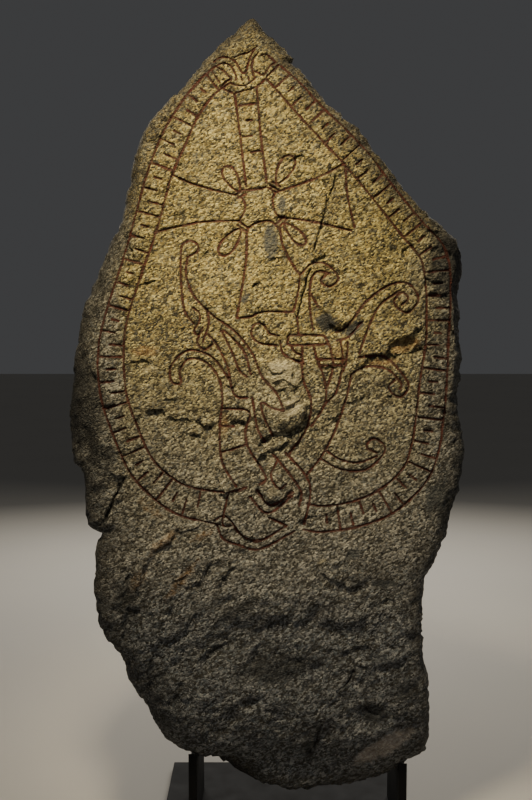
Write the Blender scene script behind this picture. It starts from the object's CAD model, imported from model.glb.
"""Looks for the rune stone: the weathered gneiss face with its red-lined carving,
the rough sides and back, and the black steel stand it rests against."""
import math

import bpy
import numpy as np
from mathutils import Matrix, Vector, geometry, noise


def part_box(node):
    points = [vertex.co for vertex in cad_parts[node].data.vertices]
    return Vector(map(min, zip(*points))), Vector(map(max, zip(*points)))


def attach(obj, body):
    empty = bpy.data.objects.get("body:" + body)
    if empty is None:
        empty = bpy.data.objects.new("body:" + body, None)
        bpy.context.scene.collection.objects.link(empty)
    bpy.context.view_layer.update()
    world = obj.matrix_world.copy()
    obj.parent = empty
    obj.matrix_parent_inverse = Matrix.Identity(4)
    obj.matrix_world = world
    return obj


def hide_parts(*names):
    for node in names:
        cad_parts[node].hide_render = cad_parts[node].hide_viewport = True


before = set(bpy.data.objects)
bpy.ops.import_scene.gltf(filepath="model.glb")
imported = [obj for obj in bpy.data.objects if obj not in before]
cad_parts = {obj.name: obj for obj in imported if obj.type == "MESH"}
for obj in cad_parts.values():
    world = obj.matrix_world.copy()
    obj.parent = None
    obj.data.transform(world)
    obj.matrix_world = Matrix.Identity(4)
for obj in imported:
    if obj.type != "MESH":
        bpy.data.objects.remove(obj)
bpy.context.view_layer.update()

# ---- sizes, in metres
CM = 0.01
MM = 0.001
STONE_THICKNESS = 0.28
STONE_LEAN = math.radians(5.0)
STONE_PLACE = (0.03, -0.10)  # lowest point of the stone on the plan of the base
LINE_WIDTH = 0.0085  # carved line, edge to edge
LINE_DEPTH = 0.0050
TIE_LINE_WIDTH = 0.0065  # the lines of the tie are closer together and finer
PAINT_WIDTH = 0.0050  # red colour left in the bottom of a line
CRACK_WIDTH = 0.0070
FLAKE_CRACK_WIDTH = 0.0110
CRACK_DEPTH = 0.008
CRACK_SWAY = 0.004  # how far cracks and ledges wander off their run
LEDGE_SWAY = 0.0075
CHIP_COUNT = 95  # small splits in the face
BEDDING = math.radians(32)  # the bedding of the stone runs up to the right
STROKE_PITCH = 0.031
STROKE_SPANS = ((-1, 1), (-0.4, 0.4), (-1, 0.2), (-0.2, 1))
FINE_STEP = 0.0060  # facet size on the front
LINE_STEP = 0.0055  # facet length along a carved line
SIDE_STEP = 0.0110  # facet size on sides and back
BACK_LAYER = 0.009  # thickness of the layers that have split off the back
VIEW_DISTANCE = 2.5  # eye to the carved plane
CAMERA_LENS = 45.0
VIEW_POINT = (-0.08, 0.97)  # point of the face that the camera looks at
STROKE_MARGIN = 0.006  # what a stroke leaves free inside each edge of the band
STROKE_START, STROKE_END = 0.03, 0.02  # first and last stroke, from the ends of the band
SHAFT_STROKES = [(-12.9, 172.5, 5.2), (-10.6, 152, 5.2)]  # strokes down the cross, as a band (cm)
SHAFT_PITCH, SHAFT_START = 0.04, 0.015
LOOP_POINTS = 10  # corners of a drop-shaped loop
COLLAR_REACH = 1.3  # half length of a collar bar, and how far back the bars lie (cm)
COLLAR_PLACES = (0.3, 1.3)
CREVICE_WIDTH = 0.006  # shade under a ledge
BROKEN_WIDTH = 0.022  # fresh rough strip along a ledge
NEAR = 0.02  # how far from a line its effect is worked out

OUTLINE_WAVE, OUTLINE_RIPPLE = 0.004, 0.0022  # unevenness of the breaks between the outline's corners
SWELL, RIPPLE = 0.006, 0.003  # slow unevenness of the split face

# how the face falls back from its plane
MIDDLE_X, HALF_WIDTH, BOW_FALL = -0.07, 0.45, 0.016
ROOT_FALL, ROOT_TOP = 0.022, 0.60
FOOT_FALL, FOOT_TOP = 0.060, 0.17
TIP_FALL, TIP_START, TIP_RUN = 0.020, 1.72, 0.20
EDGE_DROP, EDGE_WIDTH = 0.038, 0.045  # worn edge all round
LEFT_DROP, LEFT_SIDE, LEFT_FOOT = 0.045, -0.25, 0.75
LEFT_SETBACK, LEFT_SETBACK_FOOT = 0.030, 0.80
RIGHT_DROP, RIGHT_SIDE, RIGHT_RUN, RIGHT_WIDTH = 0.09, 0.30, (0.94, 1.36), 0.036
TURN_DROP, TURN_SIDE, TURN_TOP, TURN_WIDTH = 0.05, -0.08, 0.36, 0.075
# the sides: (part of the way back, how far they have drawn in)
SIDE_RINGS = ((0.0, 0.0), (0.22, 0.004), (0.45, 0.012), (0.68, 0.030), (0.87, 0.060), (1.0, 0.110))
SPINE_RANGE = (0.40, 1.45)  # they draw in towards a line between these heights
SIDE_ROUGHNESS = 0.010
BACK_SWELL, BACK_ROUGHNESS = 0.012, 0.010

# ---- the drawing on the face
# (x, height) in centimetres on the stone's own face, from its lowest point.
RIGHT_EDGE = [(0, 0), (7.5, 0.4), (14.5, 1.8), (26, 5), (32.3, 8.5), (33.3, 21), (31.5, 32), (31, 44),
              (31.3, 50.5), (34, 56.5), (36.5, 63), (40, 74.5), (41.8, 84), (41, 90), (39.8, 95),
              (41.5, 99.5), (42.3, 110), (42, 118.5), (41.3, 124), (42.2, 131), (39.3, 137),
              (32.3, 143.8), (25.5, 150), (23.2, 154.3), (18.7, 160), (15, 164.5), (7, 171.5),
              (3, 176.5), (0.5, 179.5), (-2, 181.2), (-1.4, 182.3), (-4.5, 185), (-7, 187.3), (-9.2, 190)]
LEFT_EDGE = [(-10.5, 1.8), (-20.5, 5.5), (-31, 8.5), (-36.5, 16.5), (-42.5, 25), (-45, 33), (-49, 38.5),
             (-51, 46), (-50.7, 57), (-49.3, 63.6), (-52.7, 65.8), (-53.5, 76), (-56.6, 86), (-57.6, 93),
             (-56.5, 105), (-54.8, 114.5), (-53.3, 121.5), (-50.3, 128.5), (-47, 136.5), (-44.2, 142),
             (-43, 147.5), (-41.5, 154.5), (-39.8, 161), (-36.9, 166.2), (-32.5, 171.8), (-29, 175),
             (-23.7, 181.3), (-20, 185.2), (-18.2, 187), (-14.5, 190)]
TIP = (-11.2, 192.0)

# Centre line of each half of the serpent band: (x, height, width) in centimetres.
BAND_LEFT = [(-19, 178.5, 5.6), (-23, 175.3, 5.2), (-27.4, 169.5, 5.5), (-31, 162.6, 6.3),
             (-34.6, 154, 6.1), (-37.4, 144.1, 6.3), (-39.6, 136.8, 6.1), (-42, 129.6, 5.7),
             (-45.9, 117, 5.9), (-47.1, 108, 6.7), (-46.2, 98, 6.6), (-43.4, 89.6, 6.5),
             (-39.6, 81, 6.6), (-35.2, 76, 6.8), (-29.4, 72.1, 7.5), (-22.4, 70.4, 7.8),
             (-19, 69.9, 8.2)]
BAND_RIGHT = [(-6, 179.1, 5), (-0.6, 173.5, 5.8), (4, 168.5, 6), (13.2, 159, 6.4), (21, 149.6, 6.2),
              (28.9, 139.9, 6.2), (33.8, 134.3, 6.7), (35.2, 128, 6.6), (35.4, 120.5, 6.1),
              (35, 110.5, 5.8), (34.2, 103.2, 6.7), (33.1, 91.8, 7.1), (31.6, 83.5, 7),
              (28.8, 77.5, 6.7), (22.4, 71.8, 6.7), (14.5, 68.5, 6.4), (6, 67.2, 6.4),
              (1.8, 67.8, 6.6)]

# Freehand lines of the tie at the top, (x, height) in centimetres.
TIE = [
    # the bowl under the knot
    [(-19.3, 175.5), (-17.8, 174.5), (-16, 173.9), (-14, 174.2), (-11.8, 174.8), (-10.2, 175.5),
     (-8.8, 176.8), (-7, 178.8), (-4.8, 181.2)],
    [(-17, 176.5), (-15.8, 175.9), (-13.8, 175.6), (-12.5, 176), (-11.2, 177), (-10.6, 177.8)],
    # the left head and its loops
    [(-20.2, 180.4), (-18.5, 179.5), (-17.5, 178.2), (-16.5, 177.4), (-17.6, 177), (-19, 175.8)],
    [(-21.5, 179.5), (-20.5, 177.8), (-19.5, 176.5)],
    [(-20.8, 180.5), (-19, 181.5), (-17.2, 181.1), (-16.2, 179.8), (-15.5, 178), (-15.6, 177)],
    [(-21.2, 182), (-20, 183), (-18, 183.1), (-15.8, 182), (-14.8, 180.5), (-14, 179), (-13, 179.2),
     (-12.6, 181), (-12, 183), (-11, 185)],
    [(-16, 182.9), (-14.2, 183.8), (-12.2, 184.4), (-10.2, 186)],
    # the right head
    [(-9.8, 184.5), (-10.8, 183.2), (-11.5, 181.5), (-11.5, 179.8), (-11, 178)],
    [(-11.4, 179.5), (-10.2, 179.2), (-9, 178.4), (-8, 179.2), (-6.8, 181), (-5.5, 181.8)],
    [(-9.2, 183.5), (-8, 184), (-6.5, 182.8), (-5.5, 181.8)],
    [(-14.2, 178), (-14, 177)],
    [(-12.5, 178), (-12.2, 177)],
]

# The cross: shafts, arms and the small collars where its loops pass.
CROSS = [
    [(-15.9, 173.8), (-14.8, 165.8), (-13, 150.5)],
    [(-10.3, 175), (-9.3, 163), (-7.8, 151.3)],
    [(-14, 149.5), (-9.5, 149.8), (-7.8, 150.2), (-5.8, 149)],
    [(-31.4, 153.4), (-26.8, 151.3), (-20.6, 149.4), (-14.5, 147.8), (-13.2, 145.1), (-14.6, 141.8)],
    [(-36, 139.1), (-30, 140.5), (-24, 141.6), (-14.6, 141.8)],
    [(-5.1, 149), (0.5, 151), (6, 153.1), (11.8, 156.3)],
    [(11.8, 156), (12.4, 148), (14.2, 140.2)],
    [(-3.5, 142.6), (3.1, 141.7), (13.4, 139.4)],
    [(-5.6, 149), (-6.4, 147), (-5.5, 143.6), (-3.8, 142.6)],
    [(-12.8, 139.4), (-10.8, 141.1), (-7.1, 141.8), (-4.6, 139.8)],
    [(-12.8, 139.4), (-12.9, 133), (-13.6, 127.3), (-15.3, 117.4)],
    [(-15.3, 117.4), (-11.9, 117.8), (-8.5, 119), (-1.1, 119)],
    [(-4.5, 139.4), (-3.7, 135.4), (-0.8, 130), (0.4, 128.1), (0, 124), (-1.1, 119)],
]
# Corner loops of the cross: pinched end, round end, half width (cm).
LOOPS = [((-14.7, 149.2), (-18.3, 155.4), 2.2), ((-5.3, 151.2), (-1.5, 158), 2.5),
         ((-14.4, 139.8), (-19.4, 133.3), 2.4), ((-3.4, 141.2), (1.7, 136.0), 1.9)]

# The great beast and the serpents round it, drawn as single carved lines.
BEAST = [
    # head, neck and back
    [(-27.7, 132.8), (-25.3, 134.1), (-25, 135.6), (-26.6, 136.9), (-28.6, 136.3), (-29.3, 134.5),
     (-29.3, 127.5), (-28.4, 119.5), (-25.6, 115.5)],
    [(-27.7, 132.8), (-28, 128.5), (-26.2, 123.3), (-21.5, 118.3), (-15.8, 114.1), (-11.4, 108.6),
     (-9.1, 103), (-5.3, 98.5), (-3.6, 94.4)],
    [(-26.3, 120.1), (-24.6, 118.6), (-24.7, 116.5), (-26, 114.5), (-25, 113.3), (-23.7, 115.2)],
    [(-22.6, 118.8), (-22.3, 116), (-23.3, 113), (-23.8, 111.4)],
    [(-24.7, 113.2), (-25.2, 111.3), (-23.4, 109.5), (-21.3, 111)],
    [(-22.4, 113.2), (-20.3, 110.8), (-17.5, 105), (-16.7, 100.4), (-15.4, 97.8), (-12.6, 97.6)],
    [(-18.9, 113.8), (-16.5, 109), (-14.7, 104.5), (-12.8, 102.8)],
    [(-19.4, 114.1), (-18.1, 114), (-13.6, 109.3), (-11.8, 103.5)],
    # left foot, its hook and the inside of the leg
    [(-16.8, 101.6), (-21.5, 107.7), (-27.5, 109.4), (-31.8, 105.5), (-31.6, 101.6), (-29.3, 101.2),
     (-29.6, 104.2), (-27.5, 107.2), (-23.5, 106.7), (-20.2, 103.2), (-18.9, 97.5), (-19.6, 90.3),
     (-19, 81.6), (-15.4, 75.3)],
    [(-19.3, 94.8), (-16.5, 94.8), (-12.1, 93.9), (-13.2, 89), (-12.3, 84.8), (-10.3, 81.6), (-8, 77.5),
     (-9.6, 75.9)],
    [(-19.3, 90.5), (-15.9, 90.4)],
    [(-19, 84), (-15.9, 84.8), (-12.8, 86)],
    [(-11.4, 97.5), (-10.7, 93), (-10, 89.5), (-8.2, 86.5)],
    [(-3.6, 94.4), (-6.5, 95), (-9.1, 96.4), (-8.6, 93), (-6.3, 88)],
    # hook beside the foot of the cross
    [(-5.3, 110.6), (-9.8, 111.3), (-11.7, 113.6), (-10.6, 116), (-8.7, 115.9), (-7.2, 113.7),
     (-4.7, 113)],
    # neck and curl at the right of the cross foot
    [(0.5, 128.2), (3.4, 131), (7, 131), (10.1, 127.7), (8.1, 125.4), (5.7, 126.7), (7.4, 128.9)],
    [(3.7, 114.5), (2.9, 121.5), (3.3, 127), (5.1, 129.2), (8, 128.6)],
    [(3.2, 123.5), (5.1, 120.3)],
    [(-0.3, 118), (0.2, 113.4)],
    # ring where the bodies cross
    [(6.3, 113.2), (-1.9, 113.2), (-2.4, 112), (-1.9, 110.7), (7.3, 111)],
    [(6.7, 113.1), (8, 110.3), (8.8, 105.5), (7.8, 101.7), (7, 99.8)],
    [(-1.7, 110.5), (-0.9, 109.1), (1, 108.1)],
    [(-4.5, 111.8), (-3.5, 108.4), (1.4, 106)],
    [(1.1, 110.5), (1.3, 102.4), (3.3, 96.5), (2, 89.5), (-2.4, 83.3)],
    [(3.9, 110.6), (4.8, 107.2), (6.8, 101.5), (6.7, 96), (3.4, 90.4)],
    [(10.7, 111.5), (11.2, 106.5), (9.6, 99.2), (7, 96.3)],
    [(12.5, 111.5), (12.2, 107.5), (11.4, 104.2)],
    [(4.9, 107.2), (12.1, 107.2)],
    [(5.3, 105.5), (12, 105.8)],
    [(13.4, 103.4), (12.1, 97.5), (9.2, 89.1), (5.8, 82.8), (2, 78)],
    # upper right foot with its great curl
    [(9.6, 114), (12.8, 116), (16.9, 121.4), (22.4, 125.6), (27.5, 126.3), (30.3, 122.5), (27.5, 118.9),
     (24.1, 121.3), (26, 124), (27.7, 122.5), (26, 120.8)],
    [(25.4, 124.3), (20.5, 120.7), (17.6, 114.9), (15.3, 108.6)],
    [(9.7, 111.9), (12.6, 112.8), (16, 116.5)],
    # middle right foot
    [(15.2, 107.7), (21.5, 108), (25.4, 104.5), (27.8, 100.6), (25.5, 97.7), (22.7, 100), (24.3, 102)],
    [(13.5, 103.5), (17.1, 105.4), (22.2, 104.8), (25.8, 101.3), (25.6, 99.8)],
    # lower right foot
    [(7.3, 84.2), (10.6, 82.1), (15, 81.3), (19.8, 82.9)],
    [(5.6, 82.4), (10.6, 79.7), (17.3, 79.7), (21.9, 84.5), (19.1, 87.4), (17.2, 85.2), (19.8, 83.7)],
    # knot above the meeting of the bands
    [(-6.3, 83.5), (-2.4, 78.8), (0.8, 74), (0.3, 70.5)],
    [(-3.1, 83.8), (2, 78), (3.1, 73.5), (1.6, 66)],
    [(-5.3, 81.6), (-6.8, 78), (-4.8, 74.9), (-2.9, 76.1)],
    [(-12.1, 72.8), (-7.6, 68.7), (-1.4, 73)],
    [(-10.3, 74.4), (-6.8, 70.6), (-1.2, 73.9)],
    # link that ties the two ends of the band
    [(-20.9, 66.8), (-18.6, 68), (-16.7, 66.6), (-14.2, 63.2), (-9.6, 61.8), (-2.9, 65.5)],
    [(-20.3, 65.8), (-18.8, 62.3), (-15.1, 60.8), (-9.6, 59.7), (-0.8, 64.2)],
    [(-17.4, 73.8), (-18.9, 66), (-16.8, 65.5)],
    [(-17.6, 73.9), (-14.8, 74.4), (-12.8, 75.2)],
    [(-2.9, 65.6), (-7.3, 67.6)],
]

# Natural cracks: lines with no colour in them, deeper than the carving.
CRACKS = [
    [(10, 154), (8.3, 149.3), (6.9, 144.6), (5.4, 138.9), (4.3, 135.7), (3.4, 131.2)],
    [(3.4, 131.2), (2.3, 127), (1.2, 123), (-0.4, 117.5)],
    [(-11.5, 125), (-9.2, 126.6)],
    [(6.2, 15.5), (4.8, 11), (2.8, 5.8)],
    [(14.3, 29.5), (12.5, 26), (9.5, 23.5)],
    [(16.5, 19.8), (19, 17.6), (22.6, 16.4)],
]
# The flake at the left edge stands open all along this line.
FLAKE_EDGE = [(-43.2, 78.6), (-45, 74.6), (-46.9, 70.7), (-48.2, 67.6), (-49.5, 65.5)]
# Ledges: along its line the face drops by DROP over RAMP, on the right hand of the
# line as it is listed, and comes back to the general surface over REACH (all cm).
LEDGES = [
    # line, drop, ramp, reach
    (FLAKE_EDGE, 0.9, 0.8, 5.0),
    ([(-40.8, 47.5), (-39.5, 52), (-36.3, 58.3), (-32.5, 61.3), (-30, 65.3)], 1.1, 0.7, 3.0),
    ([(-37, 34.5), (-32, 37.5), (-28.3, 40.3), (-24.5, 44.5)], 0.8, 1.0, 3.0),
    ([(-10, 84.6), (-8.3, 87.3), (-5.8, 89), (-2, 89.5), (0.5, 90.8), (2, 94.5), (2.8, 97)],
     1.5, 0.6, 3.0),
    ([(-10.5, 75.3), (-9, 72.5), (-7.5, 71.3), (-4.5, 72), (-2, 73.8)], 0.9, 0.5, 1.8),
    ([(15, 107.5), (18, 108), (21.8, 109), (25, 112), (29.3, 114), (31.8, 115.8)], 1.1, 0.5, 3.0),
    ([(-38.5, 93.6), (-36.5, 94.4), (-34, 93.6), (-33, 92.9)], 0.8, 0.5, 2.0),
    ([(-32.6, 93), (-30, 91.8), (-27.8, 92.3), (-26, 91.2)], 0.6, 0.5, 1.8),
    ([(-26.2, 92.4), (-24, 91), (-21.6, 90.9), (-20.2, 91.4)], 0.8, 0.5, 2.0),
    ([(-29, 89.2), (-26.5, 88.3), (-23.5, 88.6)], 0.4, 0.5, 1.6),
    ([(5, 54.5), (7.5, 52.2), (11, 51.2), (14, 49.5), (17, 51.5)], 0.7, 0.6, 3.0),
    ([(-24, 40.5), (-12, 41.5), (-5, 43), (3, 43.5), (10, 41), (18, 38.5)], 1.0, 4.5, 9.0),
    ([(-10, 24.5), (-7.5, 29), (-3.3, 31.5), (1.8, 32.5)], 0.9, 2.5, 5.0),
    ([(6, 120.5), (7, 118), (8.3, 115.8), (10.5, 115), (12.5, 115.5), (13.8, 116.8)], 0.8, 0.6, 2.5),
    # smaller ones
    ([(-44.5, 46.5), (-43.5, 50), (-42.3, 53.5)], 0.7, 0.7, 2.2),
    ([(-44, 34.5), (-44, 40.8), (-42.5, 45.8)], 0.7, 0.9, 2.6),
    ([(-31.5, 51.2), (-29.5, 52), (-27.5, 53.2)], 0.5, 0.4, 1.4),
    ([(-27, 49.5), (-24.3, 51.8), (-23, 54.6), (-20.6, 56.3)], 0.7, 0.5, 1.8),
    ([(-20, 49.5), (-19, 52), (-17, 54.5), (-14.3, 56)], 0.7, 0.5, 1.8),
    ([(-10.5, 81.5), (-7.5, 84), (-4.5, 85.3), (-2, 87)], 0.8, 0.5, 2.0),
    ([(-2.5, 83.3), (-0.3, 86.3), (1.8, 89.5)], 0.7, 0.5, 1.8),
    ([(-5.5, 99.2), (-3.8, 99.8), (-2, 101)], 0.6, 0.4, 1.4),
    ([(-3.2, 95.8), (-1.4, 96), (0.8, 97.3)], 0.6, 0.4, 1.4),
    ([(0.5, 100.8), (1.3, 102.5), (1.4, 106.5)], 0.6, 0.4, 1.4),
    ([(-17, 91.3), (-15, 92.2), (-12.8, 91.6)], 0.7, 0.4, 1.6),
    ([(-19.8, 73.4), (-17, 73.6), (-14.5, 74.3)], 0.7, 0.5, 1.8),
    ([(-16, 64.8), (-13.8, 62.8), (-11, 61.6)], 0.7, 0.5, 1.4),
    ([(5, 105.3), (8.5, 105.2), (11.8, 105.8)], 0.5, 0.4, 1.2),
    ([(11.6, 101.8), (12.4, 102.4), (13.2, 103.8)], 0.5, 0.4, 1.2),
    ([(11.8, 96.2), (13.5, 96.6), (15.2, 97.4)], 0.5, 0.4, 1.3),
    ([(14.4, 105.3), (16.6, 106), (18, 107)], 0.7, 0.4, 1.4),
    ([(21.8, 109), (24.3, 107.9), (26, 108.3), (28.5, 108.8), (31, 109.8)], 0.7, 0.4, 1.6),
    ([(31.6, 128), (34.8, 126.8), (37.3, 126.3)], 0.7, 0.5, 1.8),
    ([(33, 124.4), (35.5, 123.4), (38.2, 123.8)], 0.7, 0.5, 1.8),
    ([(-42.5, 106.3), (-39, 106.6), (-36.5, 106)], 0.6, 0.4, 1.8),
    ([(8, 91), (9.4, 92.2), (10.2, 94.2)], 0.5, 0.4, 1.2),
    ([(-10, 8), (-8.2, 11), (-6.8, 14)], 0.7, 1.5, 2.8),
    ([(2.5, 5.8), (5, 12), (8, 17.5)], 0.9, 1.5, 3.0),
    ([(12, 4.5), (17, 9.5), (24, 13.8), (30, 16.2)], 0.6, 0.8, 3.5),
    ([(24.5, 37.6), (28, 38.2), (30.8, 38)], 0.6, 0.5, 1.8),
    ([(-37.3, 22.5), (-37.8, 28), (-36.6, 34)], 0.7, 0.5, 2.2),
    ([(-34, 20), (-31, 23), (-29.5, 27)], 0.7, 0.9, 2.6),
    ([(-31, 63.8), (-27, 64.6), (-23.5, 66.2)], 0.4, 0.4, 1.6),
    ([(18, 28), (22, 30.5), (27, 31)], 0.5, 1.5, 3.0),
    ([(-56, 112), (-53, 107), (-51.5, 101)], 0.7, 1.2, 3.0),
    ([(-54, 88), (-51.5, 85), (-50.5, 80)], 0.7, 1.2, 3.0),
    ([(-8, 105.5), (-5.5, 103.8), (-3, 104.5)], 0.5, 0.4, 1.5),
    ([(-6.5, 101), (-3.5, 101.8), (-0.5, 100.2)], 0.6, 0.4, 1.5),
    ([(-1.8, 101.5), (-1.5, 104), (-2.4, 107)], 0.5, 0.4, 1.4),
    ([(36.5, 140), (37.5, 135.5), (39.5, 132)], 0.9, 0.6, 2.5),
    ([(31, 141), (33.5, 139.8), (36, 139.5)], 0.6, 0.5, 2.0),
    ([(37.5, 119), (39, 114), (38.5, 109)], 0.8, 0.6, 2.5),
    ([(35, 96), (37.5, 93), (38.5, 88)], 0.8, 0.6, 2.5),
    ([(-44, 140), (-41.5, 134), (-42.5, 129)], 0.5, 0.6, 2.5),
    ([(-14, 38), (-8, 40), (-3, 43.5)], 0.7, 0.8, 3.0),
    ([(-26, 30), (-22, 34), (-17, 36)], 0.7, 0.8, 3.0),
    ([(-20, 16), (-16, 20.5), (-10, 22)], 0.7, 0.8, 3.0),
    ([(10, 32), (15, 34.5), (20, 34)], 0.7, 0.8, 3.0),
]
# Rounded bosses and hollows: centre (cm), half sizes (cm), rise (cm).
BUMPS = [
    ((-4, 103.3), (5.0, 5.2), 0.9), ((-3.5, 93.8), (7.0, 4.4), 1.3), ((9.5, 114.5), (5.0, 2.4), -0.7),
    ((28.5, 110.5), (5.0, 2.3), -0.7), ((-41, 96), (9, 12), 0.5), ((-15, 22), (22, 15), 0.8),
    ((18.5, 16.5), (6, 3.5), -1.3), ((-20, 116), (18, 20), 0.5), ((18, 60), (14, 10), 0.6),
    ((-4, 29.5), (12, 6), -0.8), ((-35, 50), (6, 9), 0.8), ((-5.5, 75.5), (4, 3), 0.7),
]


# ---- patches of colour in the stone
# centre (cm), half sizes (cm), tilt in degrees, strength
PATCHES = {
    "quartz": [
        ((-4, 103.5), (5.6, 4.8), 10, 0.9), ((-2.5, 95), (4.6, 2.6), 15, 0.9),
        ((10.5, 120), (2.4, 1.2), 30, 0.4), ((27, 122.7), (2.0, 1.6), 0, 0.7),
        ((-37, 104.5), (2.4, 1.4), 0, 0.6), ((-14.5, 87.5), (3.6, 1.2), 20, 0.5),
        ((-6, 74.0), (2.8, 1.6), 20, 0.7), ((5.5, 56.5), (2.4, 0.8), 20, 0.6),
    ],
    "slate": [
        ((-6.8, 136.4), (2.1, 4.9), 4, 1.0), ((-4.1, 145.9), (1.3, 2.9), 0, 0.8),
        ((13.6, 58.4), (2.6, 1.6), 20, 0.8), ((35, 73), (3.6, 5.6), -30, 0.7),
        ((14.3, 115), (3.4, 1.6), 35, 1.0), ((7, 116.5), (3.0, 2.4), -20, 1.0),
        ((21.5, 50.8), (3.8, 1.1), 0, 1.0), ((-25, 158), (5, 2.4), 50, 0.35),
        ((-13.2, 122.6), (1.0, 3.0), -20, 0.7), ((10.5, 131.5), (1.2, 4.2), -25, 0.4),
        ((24, 151), (0.9, 2.8), 40, 0.5), ((-40.5, 112), (1.0, 4.5), 5, 0.5),
    ],
    "rust": [
        ((26.8, 110.8), (4.8, 2.2), 20, 1.0), ((-38.3, 109.2), (4.0, 1.6), 0, 1.0),
        ((21.5, 106.6), (5, 1.3), 5, 0.8), ((-33.5, 61.5), (1.6, 6.5), -50, 0.6),
        ((-29, 52), (1.4, 8), -40, 0.6), ((-40, 52), (2.0, 5), -35, 0.5),
        ((10.5, 108.5), (3.0, 3.2), 0, 0.6), ((-18.5, 90.5), (1.6, 4.0), 0, 0.7),
        ((-24, 63), (3.5, 1.2), 30, 0.6), ((-37, 70), (5, 2.0), -40, 0.5),
    ],
    "pink": [
        ((21.8, 8.2), (9.5, 3.0), 33, 1.0),
    ],
    "lichen": [
        ((-54, 96), (7.5, 13), 6, 1.3), ((-50.5, 80), (5.0, 9), -10, 1.0),
        ((-48, 128), (4, 14), -18, 0.5), ((-43, 46), (3.0, 10), 12, 0.9), ((38, 74), (5, 12), -18, 0.8),
        ((38, 131), (6.0, 11), -15, 1.1), ((-4, 29.5), (12, 4.6), 8, 1.1), ((4, 10), (2.6, 7), -15, 0.9),
        ((19, 18), (6, 3.0), -15, 1.2), ((7.5, 116.5), (3.4, 2.8), -20, 0.9),
        ((13, 115.2), (3.2, 1.4), 30, 0.9), ((-33, 20), (6, 12), 35, 0.8),
        ((24, 50.3), (5.0, 1.4), 0, 0.7), ((-24, 74), (4.5, 1.6), 20, 0.8),
        ((-16, 44), (9, 2.2), 25, 0.7), ((27, 24), (5, 9), 10, 0.7), ((-33, 96), (5, 1.6), -10, 0.5),
        ((35, 110), (3.5, 9), 0, 0.6),
    ],
}


# ---- lines
def spline(points, closed=False, fine=0.0012):
    """Smooth curve through the points (metres), sampled every FINE metres."""
    p = np.array(points, float)
    if closed:
        p = np.vstack([p[-1], p, p[0], p[1]])
    else:
        p = np.vstack([2 * p[0] - p[1], p, 2 * p[-1] - p[-2]])
    out = []
    for i in range(1, len(p) - 2):
        a, b, c, d = p[i - 1:i + 3]
        n = max(2, int(np.hypot(*(c - b)[:2]) / fine))
        t = (np.arange(n) / n)[:, None]
        out.append(0.5 * (2 * b + (c - a) * t + (2 * a - 5 * b + 4 * c - d) * t * t
                          + (3 * b - a - 3 * c + d) * t ** 3))
    out.append(p[-2:-1])
    return np.vstack(out)


def stations(line, step):
    """The same line with a point every STEP metres, its two ends kept."""
    run = np.concatenate([[0], np.cumsum(np.hypot(*np.diff(line, axis=0).T[:2]))])
    n = max(1, int(round(run[-1] / step)))
    at = np.linspace(0, run[-1], n + 1)
    return np.column_stack([np.interp(at, run, line[:, k]) for k in range(line.shape[1])])


def normals(line):
    """Unit normals to the left of a line of points."""
    d = np.gradient(line[:, :2], axis=0)
    d /= np.maximum(np.hypot(d[:, 0], d[:, 1]), 1e-9)[:, None]
    return np.column_stack([-d[:, 1], d[:, 0]])


def curve(points):
    """Smooth curve through points given in centimetres."""
    return spline(np.array(points) * CM)


def rails(band):
    """The two edges of a band given by its centre line and width."""
    c = curve(band)
    n = normals(c)
    half = c[:, 2:3] / 2
    return c[:, :2] + n * half, c[:, :2] - n * half


def band_strokes(band, pitch, start):
    """Plain parallel strokes across a band: whole bars, dashes and part bars in turn."""
    c = curve(band)
    n = normals(c)
    run = np.concatenate([[0], np.cumsum(np.hypot(*np.diff(c[:, :2], axis=0).T))])
    strokes = []
    for k in range(int((run[-1] - start - STROKE_END) / pitch)):
        i = int(np.searchsorted(run, start + k * pitch))
        reach = n[i] * (c[i][2] / 2 - STROKE_MARGIN)
        one, other = STROKE_SPANS[k % len(STROKE_SPANS)]
        strokes.append(np.array([c[i][:2] + reach * one, c[i][:2] + reach * other]))
    return strokes


def loop(pinched, rounded, half_width):
    """Drop-shaped loop as a closed line."""
    a, b = np.array(pinched, float), np.array(rounded, float)
    across = np.array([a[1] - b[1], b[0] - a[0]]) / math.dist(a, b)
    points = []
    for w in np.arange(LOOP_POINTS) * math.tau / LOOP_POINTS:
        wide = half_width * math.sin(w) * (0.72 - 0.28 * math.cos(w))
        points.append(a + (b - a) * (1 - math.cos(w)) / 2 + across * wide)
    return spline(np.array(points) * CM, closed=True)


def collars(pinched, rounded):
    """The two short bars that tie a loop's pinched end to the cross."""
    a, b = np.array(pinched, float), np.array(rounded, float)
    ahead = (b - a) / math.dist(a, b)
    across = np.array([-ahead[1], ahead[0]]) * COLLAR_REACH
    ends = np.array([-across, across])
    return [(a - ahead * back + ends) * CM for back in COLLAR_PLACES]


def carved_lines():
    """Every painted carved line, as points on the face in metres, with its width."""
    lines = [edge for band in (BAND_LEFT, BAND_RIGHT) for edge in rails(band)]
    lines += [curve(g) for group in (CROSS, BEAST) for g in group]
    lines += [loop(*one) for one in LOOPS]
    lines += [bar for one in LOOPS for bar in collars(*one[:2])]
    lines += band_strokes(BAND_LEFT, STROKE_PITCH, STROKE_START)
    lines += band_strokes(BAND_RIGHT, STROKE_PITCH, STROKE_START)
    lines += band_strokes(SHAFT_STROKES, SHAFT_PITCH, SHAFT_START)
    return [(curve(g), TIE_LINE_WIDTH) for g in TIE] + [(line, LINE_WIDTH) for line in lines]


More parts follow.
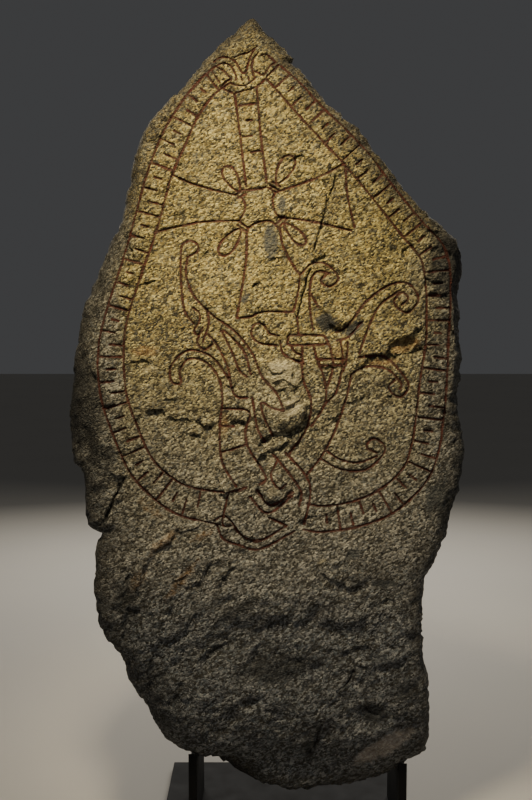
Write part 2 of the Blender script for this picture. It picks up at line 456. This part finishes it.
def nearest(p, line):
    """Distance of each point to a line, the side it is on and how far along it is."""
    best = np.full(len(p), 1e9)
    side = np.zeros(len(p))
    along = np.zeros(len(p))
    lengths = np.hypot(*np.diff(line, axis=0).T)
    run = np.concatenate([[0], np.cumsum(lengths)])
    for k in range(len(line) - 1):
        d = line[k + 1] - line[k]
        t = np.clip(((p - line[k]) @ d) / max(d @ d, 1e-12), 0, 1)
        q = p - line[k] - t[:, None] * d
        r = np.hypot(q[:, 0], q[:, 1])
        near = r < best
        best[near] = r[near]
        side[near] = np.sign(d[0] * q[near, 1] - d[1] * q[near, 0])
        along[near] = (run[k] + t[near] * lengths[k]) / run[-1]
    return best, side, along


def smooth(x):
    """Soft step from 0 to 1."""
    x = np.clip(x, 0, 1)
    return x * x * (3 - 2 * x)


def rough(points, size, seed):
    """Noise at each point with features of about SIZE metres, between -1 and 1."""
    k = 1 / size
    return np.array([noise.noise(Vector((x * k + seed, y * k, z * k))) for x, y, z in points])


def face_noise(p, waves, seed):
    """Noise at points of the face, with WAVES swells to the metre, between -1 and 1."""
    return np.array([noise.noise(Vector((x * waves, z * waves, seed))) for x, z in p])


def run_noise(t, line, waves, seed):
    """Noise along a line, different for each line."""
    return np.array([noise.noise(Vector((k * waves, line[0, 0] * 40, seed))) for k in t])


def close_to(p, line, room):
    """Which points lie in the box of a line, with ROOM round it."""
    return np.where((p > line.min(0) - room).all(1) & (p < line.max(0) + room).all(1))[0]


def grained(points, size, stretch, angle, seed):
    """Noise drawn out along the stone's bedding, which runs up to the right at ANGLE."""
    c, s = math.cos(angle), math.sin(angle)
    x = (points[:, 0] * c + points[:, 2] * s) / (size * stretch)
    z = (-points[:, 0] * s + points[:, 2] * c) / size
    y = points[:, 1] / size
    return np.array([noise.noise(Vector((a + seed, b, d))) for a, b, d in zip(x, y, z)])


# ---- the face as a height over its plane
def swaying(line, amount):
    """The same line with a broken, uneven run."""
    sway = 0.8 * face_noise(line, 60, 2.2) + 0.7 * face_noise(line, 140, 7.2)
    return line + normals(line) * (sway * amount)[:, None]


def chips():
    """Short ledges (cm) that small splits along the bedding have left all over the face."""
    draw = np.random.default_rng(23)
    out = []
    for _ in range(CHIP_COUNT):
        middle = np.array([draw.uniform(-50, 38), draw.uniform(8, 176)])
        heading = BEDDING + draw.normal(0, 0.35)
        half = draw.uniform(1.0, 3.2) * np.array([math.cos(heading), math.sin(heading)])
        bend = draw.normal(0, 0.35) * np.array([-half[1], half[0]])
        out.append(([middle - half, middle + bend, middle + half], draw.uniform(0.15, 0.5), 0.4, 1.5))
    return out


def ledge_lines():
    """Every ledge as a ragged line, with its drop, ramp and reach in metres."""
    out = []
    for points, drop, ramp, reach in LEDGES + chips():
        line = swaying(stations(curve(points), LINE_STEP), LEDGE_SWAY)
        out.append((line, drop * CM, ramp * CM, reach * CM))
    return out


def fallen_back(x, z):
    """How far the broad shape of the face lies behind its plane: bowed, with the root and tip further."""
    back = BOW_FALL * ((x - MIDDLE_X) / HALF_WIDTH) ** 2 + ROOT_FALL * smooth((ROOT_TOP - z) / ROOT_TOP)
    back = back + FOOT_FALL * smooth((FOOT_TOP - z) / FOOT_TOP) ** 1.5
    return back + TIP_FALL * smooth((z - TIP_START) / TIP_RUN)


def face_height(p, ledges, ring):
    """Height of the uncarved face towards the viewer, how deep each point sits in a crevice, how
    freshly broken it is, and how far it is from the edge."""
    x, z = p[:, 0], p[:, 1]
    h = SWELL * face_noise(p, 5, 0.7) + RIPPLE * face_noise(p, 14, 5.7) - fallen_back(x, z)
    for (cx, cz), (rx, rz), rise in BUMPS:
        r = np.sqrt(((x / CM - cx) / rx) ** 2 + ((z / CM - cz) / rz) ** 2)
        h += rise * CM * smooth(1.25 - r) * (r < 1.25)
    crevice = np.zeros(len(p))
    broken = np.zeros(len(p))
    for line, drop, ramp, reach in ledges:
        near = close_to(p, line, 3 * reach)
        d, s, t = nearest(p[near], line)
        ends = smooth(t / 0.16) * smooth((1 - t) / 0.16) * (0.85 + 0.5 * run_noise(t, line, 6, 1.3))
        low = smooth(0.5 - d * s / ramp)
        h[near] -= drop * ends * (low - 0.25) * np.exp(-(d / reach) ** 2)
        broken[near] = np.maximum(broken[near], np.exp(-(d / BROKEN_WIDTH) ** 2) * min(1, drop / 0.008))
        below = (-d * s - 0.5 * ramp) / CREVICE_WIDTH
        foot = np.exp(-(np.where(below < 0, below * 1.5, below) ** 2)) * ends
        crevice[near] = np.maximum(crevice[near], foot * min(1, 0.008 / ramp) * min(1, drop / 0.007))
    d_edge, _, _ = nearest(p, ring)
    # the left margin slopes away outside the band, over a strip that narrows towards the tip
    left = (x < LEFT_SIDE) & (z > LEFT_FOOT)
    e = np.clip(1 - d_edge / (0.02 + 0.065 * smooth((1.62 - z) / 0.3)), 0, 1)
    h -= np.where(left, LEFT_DROP * smooth((z - LEFT_FOOT) / 0.15) * e ** 1.3, 0)
    # the right margin falls steeply at mid height
    low, high = RIGHT_RUN
    right = (x > RIGHT_SIDE) & (z > low) & (z < high)
    e = np.clip(1 - d_edge / RIGHT_WIDTH, 0, 1)
    h -= np.where(right, RIGHT_DROP * e * smooth((z - low - 0.01) / 0.04) * smooth((high - z) / 0.06), 0)
    # the foot turns under at its left
    foot = (x < TURN_SIDE) & (z < TURN_TOP)
    e = np.clip(1 - d_edge / TURN_WIDTH, 0, 1)
    turned = e ** 1.5 * smooth((TURN_TOP - z) / 0.1) * smooth((TURN_SIDE - x) / 0.1)
    h -= np.where(foot, TURN_DROP * turned, 0)
    # and the edge is worn all round
    e = np.clip(1 - d_edge / EDGE_WIDTH, 0, 1)
    h -= EDGE_DROP * (1 - np.sqrt(np.maximum(1 - e * e, 0)))
    return h, crevice, broken, d_edge


def stone_roughness(points, root, broken):
    """Fine relief of weathered gneiss in metres, rougher on the root, margins, broken edges, sides
    and back, and its hollows and knobs between -1 and 1, for the dirt that lies in them."""
    hummocks = grained(points, 0.075, 1.7, BEDDING, 71.0)
    lumps = rough(points, 0.040, 3.0)
    knobs = grained(points, 0.021, 1.6, BEDDING, 53.0)
    flakes = grained(points, 0.012, 2.2, BEDDING, 11.0)
    grit = grained(points, 0.0075, 1.4, BEDDING, 19.0)
    pits = np.minimum(rough(points, 0.022, 47.0) + 0.15, 0)
    fine = 0.9 * flakes + 0.7 * grit
    coarse = np.maximum(root, broken)
    lift = (0.0015 + 0.0075 * root) * hummocks + (0.0020 + 0.0034 * coarse) * lumps
    lift += (0.0012 + 0.0036 * coarse) * knobs + (0.0013 + 0.0020 * coarse) * fine
    lift += (0.0030 + 0.005 * coarse) * pits
    return lift, 0.85 * fine + 0.35 * knobs + 0.5 * root * hummocks


def in_patches(x, z, patches):
    """How strongly each point lies in any of the oval patches."""
    out = np.zeros(len(x))
    for (cx, cz), (rx, rz), tilt, strength in patches:
        c, s = math.cos(math.radians(tilt)), math.sin(math.radians(tilt))
        dx, dz = x / CM - cx, z / CM - cz
        r = np.hypot((dx * c + dz * s) / rx, (dz * c - dx * s) / rz)
        out = np.maximum(out, strength * smooth(1.35 - r))
    return out


# ---- building the stone's skin
def setback(p):
    """How far the rim of the face lies behind the plane the carving is laid out on."""
    x, z = p
    left = LEFT_SETBACK if x < LEFT_SIDE and z > LEFT_SETBACK_FOOT else 0.0
    return EDGE_DROP + fallen_back(x, z) + left


def spread(p):
    """Outline point moved outwards, as the rim stands further from the viewer than the carving."""
    middle = np.array(VIEW_POINT)
    return middle + (p - middle) * (1 + setback(p) / VIEW_DISTANCE)


def outline_points(step):
    """Outline cut into short facets, with each corner kept and the breaks between left uneven."""
    ctrl = np.array(RIGHT_EDGE + [TIP] + LEFT_EDGE[::-1]) * CM
    out = []
    for i in range(len(ctrl)):
        a, b = ctrl[i], ctrl[(i + 1) % len(ctrl)]
        d = b - a
        length = math.hypot(*d)
        n = max(1, int(round(length / step)))
        for k in range(n):
            p = a + d * k / n
            wave = noise.noise(Vector((p[0] * 23, p[1] * 23, 3.1))) * OUTLINE_WAVE
            ripple = noise.noise(Vector((p[0] * 70, p[1] * 70, 9.1))) * OUTLINE_RIPPLE
            bulge = min(1, 4 * min(k / n, 1 - k / n))
            out.append(spread(p + np.array([d[1], -d[0]]) / length * (wave * bulge + ripple)))
    return np.array(out)


def inside(p, ring):
    """Which points lie inside the closed ring."""
    hit = np.zeros(len(p), bool)
    for a, b in zip(ring, np.roll(ring, -1, axis=0)):
        if a[1] == b[1]:
            continue
        crosses = (a[1] > p[:, 1]) != (b[1] > p[:, 1])
        hit ^= crosses & (p[:, 0] < (b[0] - a[0]) * (p[:, 1] - a[1]) / (b[1] - a[1]) + a[0])
    return hit


def filled(ring, step, lines):
    """Triangles inside the ring, closer together along the given lines."""
    lo, hi = ring.min(0), ring.max(0)
    rows = np.arange(lo[1], hi[1], step * 0.866)
    cols = np.arange(lo[0], hi[0], step)
    grid = np.array([(x + (step / 2 if k % 2 else 0), z) for k, z in enumerate(rows) for x in cols])
    draw = np.random.default_rng(7)
    grid += draw.uniform(-0.22, 0.22, grid.shape) * step
    grid = grid[inside(grid, ring)]
    keep = nearest(grid, np.vstack([ring, ring[:1]]))[0] > step * 0.6
    extra = []
    for line, line_half in lines:
        room = line_half + 2 * step
        near = close_to(grid, line, room)
        if len(near):
            keep[near] &= nearest(grid[near], line)[0] > line_half + step * 0.28
        points = stations(line, LINE_STEP)
        n = normals(points)
        extra += [points + n * line_half * k for k in (-1, -0.45, 0, 0.45, 1)]
        ahead = np.column_stack([n[:, 1], -n[:, 0]])
        extra += [points[:1] - ahead[:1] * line_half, points[-1:] + ahead[-1:] * line_half]
    points = np.vstack([ring, grid[keep]] + extra)
    n = len(ring)
    edges = [(k, (k + 1) % n) for k in range(n)]
    out = geometry.delaunay_2d_cdt([Vector(p) for p in points], edges, [], 1, 0.0006)
    at = {}
    for i, ids in enumerate(out[3]):
        for k in ids:
            if k < n:
                at[k] = i
    return np.array([tuple(v) for v in out[0]]), [tuple(f) for f in out[2]], [at[k] for k in range(n)]


def stone_front(ring):
    """The face: its points (x, height), how far each stands out, triangles, rim and surface values."""
    closed = np.vstack([ring, ring[:1]])
    carved = [(stations(line, LINE_STEP), width) for line, width in carved_lines()]
    cracks = [(swaying(stations(curve(g), LINE_STEP), CRACK_SWAY), least, width)
              for g, least, width in [(g, 0.3, CRACK_WIDTH) for g in CRACKS]
              + [(FLAKE_EDGE, 1.0, FLAKE_CRACK_WIDTH)]]
    ledges = ledge_lines()
    lines = [(line, width / 2) for line, width in carved]
    lines += [(line, width / 2) for line, _, width in cracks]
    # a ledge that runs off the edge of the face can't have its own facets
    lines += [(line, max(0.003, ramp / 2)) for line, _, ramp, _ in ledges if ramp < 0.012
              and inside(line, ring).all() and nearest(line, closed)[0].min() > 0.012]
    flat, faces, rim = filled(ring, FINE_STEP, lines)
    height, crevice, broken, d_edge = face_height(flat, ledges, closed)

    # carved lines: a rounded groove whose sides are a little uneven
    line_distance = np.full(len(flat), NEAR)
    for line, width in carved:
        near = close_to(flat, line, NEAR)
        away = nearest(flat[near], line)[0] * LINE_WIDTH / width
        line_distance[near] = np.minimum(line_distance[near], away)
    worn = 0.75 + 0.35 * rough(np.column_stack([flat, np.zeros(len(flat))]), 0.05, 61.0)
    height -= LINE_DEPTH * worn * (1 - smooth(line_distance / (LINE_WIDTH / 2)))

    # cracks: wider, ragged, dark in the bottom
    crack = np.zeros(len(flat))
    for line, least, width in cracks:
        near = close_to(flat, line, NEAR)
        d, _, t = nearest(flat[near], line)
        depth = smooth(t / 0.15) * smooth((1 - t) / 0.1)
        depth *= np.clip(0.8 + 0.9 * run_noise(t, line, 9, 7.7), least, 1)
        crack[near] = np.maximum(crack[near], depth * (1 - smooth(d / (width / 2))))
    height -= CRACK_DEPTH * crack

    values = {"line_mm": line_distance / MM, "crevice": crevice, "crack": crack, "broken": broken,
              "rim": smooth(1 - d_edge / 0.08), "side": np.zeros(len(flat))}
    for name, patches in PATCHES.items():
        values[name] = in_patches(flat[:, 0], flat[:, 1], patches)
    return flat, height, faces, rim, values


def add_sides(points, faces, ring, rim):
    """Rings of facets from the rim of the face to the back; returns the last ring's points."""
    n = len(ring)
    out = ring - np.column_stack([np.full(n, MIDDLE_X), np.clip(ring[:, 1], *SPINE_RANGE)])
    reach = np.hypot(out[:, 0], out[:, 1])
    out /= reach[:, None]
    front_y = np.array([points[i][1] for i in rim])
    low = 1 + 0.8 * smooth((0.25 - ring[:, 1]) / 0.25)
    rows = int(STONE_THICKNESS / SIDE_STEP)
    last = rim
    for row in range(1, rows + 1):
        depth = row / rows
        inset = np.interp(depth, *zip(*SIDE_RINGS))
        wobble = np.array([noise.noise(Vector((p[0] * 9, depth * 3, p[1] * 9))) for p in ring])
        pull = inset * low + wobble * SIDE_ROUGHNESS * smooth(depth / 0.3)
        q = ring - out * np.minimum(pull, 0.5 * reach)[:, None]
        y = front_y + (STONE_THICKNESS / 2 - front_y) * depth
        here = list(range(len(points), len(points) + n))
        points += [(a, b, c) for (a, c), b in zip(q, y)]
        for k in range(n):
            a, b = last[k], last[(k + 1) % n]
            c, d = here[(k + 1) % n], here[k]
            faces += [(b, a, d), (b, d, c)]
        last = here
    return last


def add_back(points, faces, last):
    """The back, slightly swollen, with layers split off it."""
    back_ring = np.array([(points[i][0], points[i][2]) for i in last])
    back, back_faces, back_rim = filled(back_ring, SIDE_STEP * 1.4, [])
    laid = np.column_stack([back[:, 0], np.full(len(back), 0.5), back[:, 1]])
    layer = smooth((grained(laid, 0.16, 2.0, -BEDDING, 91.0) + 0.05) / 0.12)
    to_rim = {i: k for k, i in enumerate(back_rim)}
    from_edge = nearest(back, np.vstack([back_ring, back_ring[:1]]))[0]
    index = []
    for i, p in enumerate(back):
        if i in to_rim:
            index.append(last[to_rim[i]])
            continue
        edge = from_edge[i]
        rise = BACK_SWELL * min(1.0, edge / 0.08) - BACK_LAYER * layer[i] * min(1.0, edge / 0.12)
        uneven = BACK_ROUGHNESS * noise.noise(Vector((p[0] * 6, p[1] * 6, 4.0)))
        index.append(len(points))
        points.append((p[0], STONE_THICKNESS / 2 + rise + uneven * min(1.0, edge / 0.03), p[1]))
    faces += [(index[c], index[b], index[a]) for a, b, c in back_faces]


def stone_skin():
    """Points, faces and surface values of the stone, upright, with its lowest point at the origin."""
    ring = outline_points(SIDE_STEP * 0.75)
    flat, height, faces, rim, values = stone_front(ring)
    points = [(p[0], -STONE_THICKNESS / 2 - h, p[1]) for p, h in zip(flat, height)]
    add_back(points, faces, add_sides(points, faces, ring, rim))
    # what the values are on the sides and back
    elsewhere = {"line_mm": NEAR / MM, "rim": 0.5, "side": 1.0}
    spare = len(points) - len(flat)
    for name, data in values.items():
        values[name] = np.concatenate([data, np.full(spare, elsewhere.get(name, 0.0))])
    return np.array(points), faces, values


def roughen(mesh, values):
    """Moves each point along its normal by the fine relief, less inside the carved lines."""
    count = len(mesh.vertices)
    co = np.empty(count * 3)
    mesh.vertices.foreach_get("co", co)
    co = co.reshape(-1, 3)
    normal = np.empty(count * 3)
    mesh.vertices.foreach_get("normal", normal)
    normal = normal.reshape(-1, 3)
    root = np.maximum(smooth((0.62 - co[:, 2]) / 0.25), 0.6 * np.maximum(values["rim"], values["side"]))
    lift, fine = stone_roughness(co, root, values["broken"])
    keep = 0.35 + 0.65 * smooth(values["line_mm"] / 5)
    co += normal * (lift * keep)[:, None]
    mesh.vertices.foreach_set("co", co.ravel())
    values["grain"] = fine
    cloudy = 0.06 * rough(co, 0.15, 81.0)
    # both margins are greyer than the middle of the face, and the sides and back are grey
    left_grey = smooth((-0.41 - co[:, 0] + cloudy) / 0.07)
    right_grey = smooth((co[:, 0] - 0.25 + cloudy) / 0.12)
    grey = np.maximum(left_grey, right_grey) * smooth((1.55 - co[:, 2]) / 0.25)
    grey = np.maximum(grey, values["side"])
    values["ochre"] = smooth((co[:, 2] - 0.55 + cloudy) / 0.75) * (1 - 0.8 * grey)
    values["root"] = root


def add_values(mesh, values):
    """Stores each surface value on the points, for the material to read."""
    for name, data in values.items():
        layer = mesh.attributes.new(name, "FLOAT", "POINT")
        layer.data.foreach_set("value", np.asarray(data, np.float32))


# ---- materials
def linear(text):
    """sRGB hex to a linear colour."""
    parts = [int(text[k:k + 2], 16) / 255 for k in (1, 3, 5)]
    return [c / 12.92 if c <= 0.04045 else ((c + 0.055) / 1.055) ** 2.4 for c in parts] + [1.0]


def add_node(material, kind, settings=None, links=None):
    """A shader node with its settings (a property, or an input by name or number) and its links."""
    tree = material.node_tree
    node = tree.nodes.new("ShaderNode" + kind)
    for key, value in (settings or {}).items():
        if isinstance(key, str) and hasattr(node, key):
            setattr(node, key, value)
        else:
            node.inputs[key].default_value = value
    for key, source in (links or {}).items():
        tree.links.new(source, node.inputs[key])
    return node


def new_material(name):
    """An empty node material."""
    material = bpy.data.materials.new(name)
    material.use_nodes = True
    material.node_tree.nodes.clear()
    return material


def weathered_gneiss():
    """Granite gneiss, split and weathered: pale feldspar and quartz grains with black mica
    between them, so the face glitters with small light and dark flecks; iron stains, grey
    lenses, and the red colour left in the carved lines."""
    m = new_material("weathered_gneiss")
    place = add_node(m, "TexCoord").outputs["Object"]
    value = {name: add_node(m, "Attribute", {"attribute_name": name}).outputs["Fac"]
             for name in ("line_mm", "crevice", "crack", "quartz", "slate", "rust", "rim", "grain",
                          "root", "ochre", "pink", "lichen")}
    # the bedding runs up to the right, so the grains are drawn out along it
    along = {"vector_type": "TEXTURE", "Rotation": (0, -BEDDING, 0), "Scale": (1.5, 1, 1)}
    bedded = add_node(m, "Mapping", along, {"Vector": place}).outputs["Vector"]
    # noise by the size of its features in millimetres, its detail and the way it lies
    pattern = {}
    for name, size_mm, detail, lie in (
            ("stir", 7, 1, bedded), ("clump", 6, 3, bedded), ("bumps", 5.5, 3, bedded),
            ("wear", 9, 2, place), ("flakes", 12, 2, place), ("edge", 16, 3, place),
            ("blotch", 55, 4, place), ("broad", 240, 3, place)):
        pattern[name] = add_node(m, "TexNoise", {"Scale": 1000 / size_mm, "Detail": detail,
                                                 "Roughness": 0.6}, {"Vector": lie})
    # crystals of 4 to 6 mm, each with its own shade: real ones are half that, too fine to show
    stirred = add_node(m, "Mix", {"data_type": "RGBA", "blend_type": "ADD", 0: 0.006},
                       {6: bedded, 7: pattern["stir"].outputs["Color"]}).outputs[2]
    crystal = add_node(m, "TexVoronoi", {"Scale": 1000 / 4}, {"Vector": stirred})
    random_colour = add_node(m, "SeparateColor", links={0: crystal.outputs["Color"]})
    shade, kind = random_colour.outputs[0], random_colour.outputs[1]
    pattern = {name: node.outputs["Fac"] for name, node in pattern.items()}
    # where mica gathers the whole clump is dark, where feldspar gathers it is pale
    half_shade = add_node(m, "Math", {"operation": "MULTIPLY", 1: 0.66}, {0: shade}).outputs[0]
    tone = add_node(m, "Math", {"operation": "MULTIPLY_ADD", 1: 0.70},
                    {0: pattern["clump"], 2: half_shade}).outputs[0]
    # the upper half is ochre from the iron in it, the lower half greyer, the root brown-grey
    base = {}
    for name, ochre, grey, root in (("dull", "#6E6447", "#5B584F", "#414243"),
                                    ("warm", "#877A4B", "#706B5F", "#4A4B4B"),
                                    ("pale", "#DDCC82", "#B9B5A6", "#949490")):
        rising = add_node(m, "Mix", {"data_type": "RGBA", 6: linear(grey), 7: linear(ochre)},
                          {0: value["ochre"]}).outputs[2]
        base[name] = add_node(m, "Mix", {"data_type": "RGBA", 7: linear(root)},
                              {0: value["root"], 6: rising}).outputs[2]
    cloud = add_node(m, "MapRange", {"From Min": 0.34, "From Max": 0.66},
                     {"Value": pattern["broad"]}).outputs[0]
    ground = add_node(m, "Mix", {"data_type": "RGBA"},
                      {0: cloud, 6: base["dull"], 7: base["warm"]}).outputs[2]
    feldspar = add_node(m, "MapRange", {"From Min": 0.66, "From Max": 0.98, "To Max": 0.85},
                        {"Value": tone}).outputs[0]
    colour = add_node(m, "Mix", {"data_type": "RGBA"},
                      {0: feldspar, 6: ground, 7: base["pale"]}).outputs[2]
    # patches get ragged edges, and the dark growth on the margins breaks into blotches
    for name, breaking, amount in (
            ("rust", "edge", 1.2), ("slate", "edge", 1.2), ("quartz", "edge", 1.2), ("pink", "edge", 1.2),
            ("lichen", "blotch", 2.2), ("rim", "blotch", 1.4)):
        value[name] = add_node(m, "Math", {"operation": "MULTIPLY_ADD", 1: amount},
                               {0: pattern[breaking], 2: value[name]}).outputs[0]
    value["wander"] = add_node(m, "Math", {"operation": "MULTIPLY_ADD", 1: 4.0},
                               {0: pattern["wear"], 2: value["line_mm"]}).outputs[0]
    stained = add_node(m, "Math", {"operation": "MULTIPLY"},
                       {0: kind, 1: value["ochre"]}).outputs[0]
    groove = LINE_WIDTH / MM / 2
    paint = PAINT_WIDTH / MM / 2 + 2.0
    # each layer lies over the one before: what drives it, from where to where, how much, its colour
    for driver, low, high, most, hue in (
            (stained, 0.62, 0.76, 0.36, "#B59A52"),              # feldspar stained by iron
            (kind, 0.28, 0.18, 0.40, "#616B70"),                 # blue-grey quartz
            (tone, 0.62, 0.40, 0.88, "#2A261C"),                 # mica
            (value["rust"], 0.85, 1.45, 0.42, "#A27841"),        # iron stain
            (value["slate"], 0.90, 1.30, 0.85, "#494B48"),       # fine grey lenses
            (value["quartz"], 0.95, 1.40, 0.42, "#D9CDA8"),      # milky quartz
            (value["pink"], 0.85, 1.30, 0.38, "#B5A899"),        # smooth split facet
            (value["rim"], 0.75, 1.75, 0.66, "#36322A"),         # old dirt on the margins
            (value["lichen"], 1.35, 2.15, 0.74, "#1E1F1F"),      # dark crust in blotches
            (value["grain"], 0.15, -0.75, 0.50, "#28241B"),      # dirt in the hollows
            (value["crevice"], 0.0, 1.0, 0.45, "#1B1812"),       # shade under the ledges
            (value["crack"], 0.05, 0.7, 0.92, "#14110C"),        # open cracks
            (value["line_mm"], groove + 0.6, groove - 1.2, 0.45, "#2C2014")):
        amount = add_node(m, "MapRange", {"From Min": low, "From Max": high, "To Max": most},
                          {"Value": driver}).outputs[0]
        colour = add_node(m, "Mix", {"data_type": "RGBA", 7: linear(hue)},
                          {0: amount, 6: colour}).outputs[2]
    # iron red in the carved lines, worn through in places
    worn = add_node(m, "MapRange", {"From Min": 0.3, "From Max": 0.7},
                    {"Value": pattern["flakes"]}).outputs[0]
    red = add_node(m, "Mix", {"data_type": "RGBA", 6: linear("#34160D"), 7: linear("#582515")},
                   {0: worn}).outputs[2]
    in_line = add_node(m, "MapRange", {"From Min": paint + 0.9, "From Max": paint - 0.6, "To Max": 0.86},
                       {"Value": value["wander"]}).outputs[0]
    colour = add_node(m, "Mix", {"data_type": "RGBA"},
                      {0: in_line, 6: colour, 7: red}).outputs[2]
    # crystal faces glint, the weathered ground between them is dull
    gloss = add_node(m, "MapRange", {"From Min": 1.0, "From Max": 0.2, "To Min": 0.62, "To Max": 0.95},
                     {"Value": shade}).outputs[0]
    pits = add_node(m, "Math", {"operation": "MULTIPLY", 1: -0.55},
                    {0: crystal.outputs["Distance"]}).outputs[0]
    relief = add_node(m, "Math", {"operation": "MULTIPLY_ADD", 1: 1.3},
                      {0: pattern["bumps"], 2: pits}).outputs[0]
    bump = add_node(m, "Bump", {"Strength": 1.0, "Distance": 4.4 * MM}, {"Height": relief})
    shader = add_node(m, "BsdfPrincipled", {"IOR": 1.54, "Specular IOR Level": 0.4},
                      {"Base Color": colour, "Roughness": gloss, "Normal": bump.outputs[0]})
    add_node(m, "OutputMaterial", links={"Surface": shader.outputs[0]})
    return m


def black_painted_steel():
    """Flat bar, cut and spray painted satin black: an even, faintly orange-peeled skin."""
    m = new_material("black_painted_steel")
    place = add_node(m, "TexCoord").outputs["Object"]
    # the spray's orange peel is about 1 mm across, drawn at 3 mm so that it shows
    peel = add_node(m, "TexNoise", {"Scale": 1000 / 3, "Detail": 2}, {"Vector": place}).outputs["Fac"]
    # dust lies on it in clouds, a shade lighter and duller
    dust = add_node(m, "TexNoise", {"Scale": 1000 / 60, "Detail": 4}, {"Vector": place}).outputs["Fac"]
    tone = add_node(m, "Mix", {"data_type": "RGBA", 6: linear("#0A0A0A"), 7: linear("#131211")},
                    {0: dust}).outputs[2]
    gloss = add_node(m, "MapRange", {"To Min": 0.65, "To Max": 0.85}, {"Value": dust}).outputs[0]
    bump = add_node(m, "Bump", {"Strength": 0.15, "Distance": 0.2 * MM}, {"Height": peel}).outputs[0]
    shader = add_node(m, "BsdfPrincipled", {"IOR": 1.5, "Specular IOR Level": 0.2},
                      {"Base Color": tone, "Roughness": gloss, "Normal": bump})
    add_node(m, "OutputMaterial", links={"Surface": shader.outputs[0]})
    return m


def pale_floor():
    """Smooth pale studio floor, very slightly clouded."""
    m = new_material("pale_floor")
    place = add_node(m, "TexCoord").outputs["Object"]
    cloud = add_node(m, "TexNoise", {"Scale": 1.2, "Detail": 2}, {"Vector": place}).outputs["Fac"]
    tone = add_node(m, "Mix", {"data_type": "RGBA", 6: linear("#BDB8AE"), 7: linear("#C6C1B7")},
                    {0: cloud}).outputs[2]
    shader = add_node(m, "BsdfPrincipled", {"Roughness": 0.8}, {"Base Color": tone})
    add_node(m, "OutputMaterial", links={"Surface": shader.outputs[0]})
    return m


# ---- the stone
points, faces, values = stone_skin()
mesh = bpy.data.meshes.new("rune_stone_skin")
mesh.from_pydata([tuple(p) for p in points], [], faces)
mesh.update()
roughen(mesh, values)
mesh.update()
add_values(mesh, values)
mesh.shade_smooth()
stone = bpy.data.objects.new("rune_stone_skin", mesh)
bpy.context.scene.collection.objects.link(stone)
lean = Matrix.Rotation(-STONE_LEAN, 3, "X")
cad_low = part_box("rune_stone")[0]
lowest = min((lean @ v.co).z for v in mesh.vertices)
stone_foot = Vector((STONE_PLACE[0], STONE_PLACE[1], cad_low.z - lowest))
stone.rotation_euler = (-STONE_LEAN, 0, 0)
stone.location = stone_foot
mesh.materials.append(weathered_gneiss())
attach(stone, "root")
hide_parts("rune_stone")

# ---- the stand
steel = black_painted_steel()
for name in ("stand_base", "left_upright", "right_upright"):
    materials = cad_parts[name].data.materials
    materials.clear()
    materials.append(steel)

# ---- floor, light and camera
bpy.ops.mesh.primitive_plane_add(size=40, location=(0, 0, 0))
floor = bpy.context.object
floor.name = "studio_floor"
floor.data.materials.append(pale_floor())

# a warm lamp above the left of the face, and soft fills: in front, low, and behind at both sides
for name, place, aim, size, power, colour, cone in (
        ("key", (-0.38, -1.10, 3.15), (-0.08, -0.16, 1.42), 0.40, 5.9, "#FFEECA", 45),
        ("fill", (1.6, -3.4, 2.4), (0, 0, 1.2), 2.6, 8.5, "#E9EDF3", 180),
        ("low", (0.6, -2.6, 0.9), (0.0, 0.0, 0.10), 1.0, 0.8, "#FFF4E4", 50),
        ("back_left", (-1.0, 3.6, 2.6), (0, 0, 1.0), 1.8, 70, "#F6F1E8", 180),
        ("back_right", (1.0, 3.6, 2.6), (0, 0, 1.0), 1.8, 70, "#F6F1E8", 180)):
    lamp = bpy.data.lights.new(name, "AREA")
    lamp.size = size
    lamp.energy = power
    lamp.color = linear(colour)[:3]
    lamp.spread = math.radians(cone)
    light = bpy.data.objects.new(name, lamp)
    light.location = place
    light.rotation_euler = (Vector(aim) - Vector(place)).to_track_quat("-Z", "Y").to_euler()
    bpy.context.scene.collection.objects.link(light)
world = bpy.data.worlds.new("studio")
world.use_nodes = True
world.node_tree.nodes["Background"].inputs[0].default_value = linear("#8B8C8E")
world.node_tree.nodes["Background"].inputs[1].default_value = 0.20
bpy.context.scene.world = world

camera = bpy.data.objects.new("camera", bpy.data.cameras.new("camera"))
camera.data.lens = CAMERA_LENS
bpy.context.scene.collection.objects.link(camera)
looked_at = stone_foot + lean @ Vector((VIEW_POINT[0], -STONE_THICKNESS / 2, VIEW_POINT[1]))
camera.location = looked_at - VIEW_DISTANCE * (lean @ Vector((0, 1, 0)))
camera.rotation_euler = (math.radians(90) - STONE_LEAN, 0, 0)
bpy.context.scene.camera = camera
